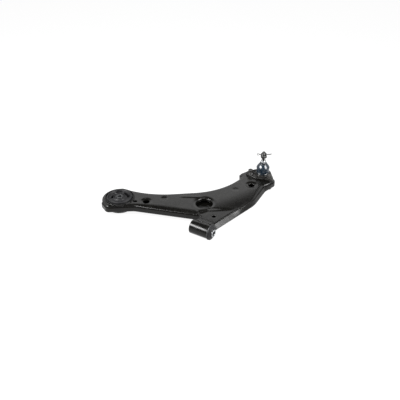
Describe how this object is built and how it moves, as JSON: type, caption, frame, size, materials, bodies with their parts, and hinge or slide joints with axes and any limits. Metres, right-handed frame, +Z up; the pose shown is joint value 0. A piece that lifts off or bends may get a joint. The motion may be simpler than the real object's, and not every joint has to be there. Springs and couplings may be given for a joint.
{
  "type": "control arm",
  "caption": "Lower front suspension control arm: pressed-steel box section with a horizontal bush, an upright voided bush and a bolted ball joint with boot and castle nut.",
  "frame": {"origin": "centre of the front bush bore, halfway along it", "axes": "+X along the front bush bore, away from the rear bush (forward on the vehicle); +Y outboard, towards the ball joint; +Z up, along the rear bush bore"},
  "size_m": [0.4291, 0.4409, 0.1234],
  "materials": {
    "black_paint": "satin-gloss black dip coat over pressed steel",
    "phosphate_steel": "dark phosphated steel, matt",
    "forged_paint": "satin black coat over a forged, slightly rough surface",
    "bush_rubber": "moulded black rubber, satin",
    "boot_rubber": "glossy blue-black moulded rubber",
    "bright_steel": "bright turned steel",
    "zinc_steel": "bright zinc plate",
    "black_fastener": "black oxide, satin",
    "seat_plastic": "off-white acetal"
  },
  "bodies": {
    "arm": {"upper_shell": "black_paint", "lower_shell": "black_paint", "front_bush_tube": "black_paint", "front_bush_bracket": "black_paint", "front_bush_outer_sleeve": "phosphate_steel", "front_bush_rubber": "bush_rubber", "rear_bush_housing": "black_paint", "rear_bush_outer_sleeve": "phosphate_steel", "rear_bush_rubber": "bush_rubber", "ball_joint_housing": "forged_paint", "ball_seat": "seat_plastic", "ball_joint_cover": "zinc_steel", "boot_lower_ring": "zinc_steel", "ball_joint_bolts": "black_fastener", "ball_joint_nuts": "black_fastener", "crush_sleeves": "black_fastener"},
    "front_core": {"front_bush_inner_sleeve": "bright_steel"},
    "rear_core": {"rear_bush_core": "phosphate_steel"},
    "boot_mid": {"dust_boot": "boot_rubber"},
    "boot_top": {"boot_top_ring": "zinc_steel"},
    "stud": {"ball_stud": "bright_steel", "castle_nut": "zinc_steel", "cotter_pin": "zinc_steel"}
  },
  "joints": [
    {"name": "front_bush_twist", "type": "hinge", "parent": "arm", "child": "front_core", "pos_m": [0, 0, 0], "axis": [1, 0, 0], "range_deg": [-18, 18], "stiffness_Nm_per_rad": 3},
    {"name": "rear_bush_tilt", "type": "hinge", "parent": "arm", "child": "rear_core", "pos_m": [-0.3, -0.005, 0], "axis": [1, 0, 0], "range_deg": [-12, 12], "stiffness_Nm_per_rad": 6, "deforming": ["rear_bush_rubber"]},
    {"name": "stud_swing_side", "type": "hinge", "parent": "arm", "child": "boot_mid", "pos_m": [0.023, 0.347, 0.006], "axis": [0, 1, 0], "range_deg": [-17, 17], "deforming": ["dust_boot"]},
    {"name": "stud_swing_fore", "type": "hinge", "parent": "boot_mid", "child": "boot_top", "pos_m": [0.023, 0.347, 0.006], "axis": [1, 0, 0], "range_deg": [-17, 17], "deforming": ["dust_boot"]},
    {"name": "stud_turn", "type": "hinge", "parent": "boot_top", "child": "stud", "pos_m": [0.023, 0.347, 0.006], "axis": [0, 0, 1], "continuous": true}
  ]
}
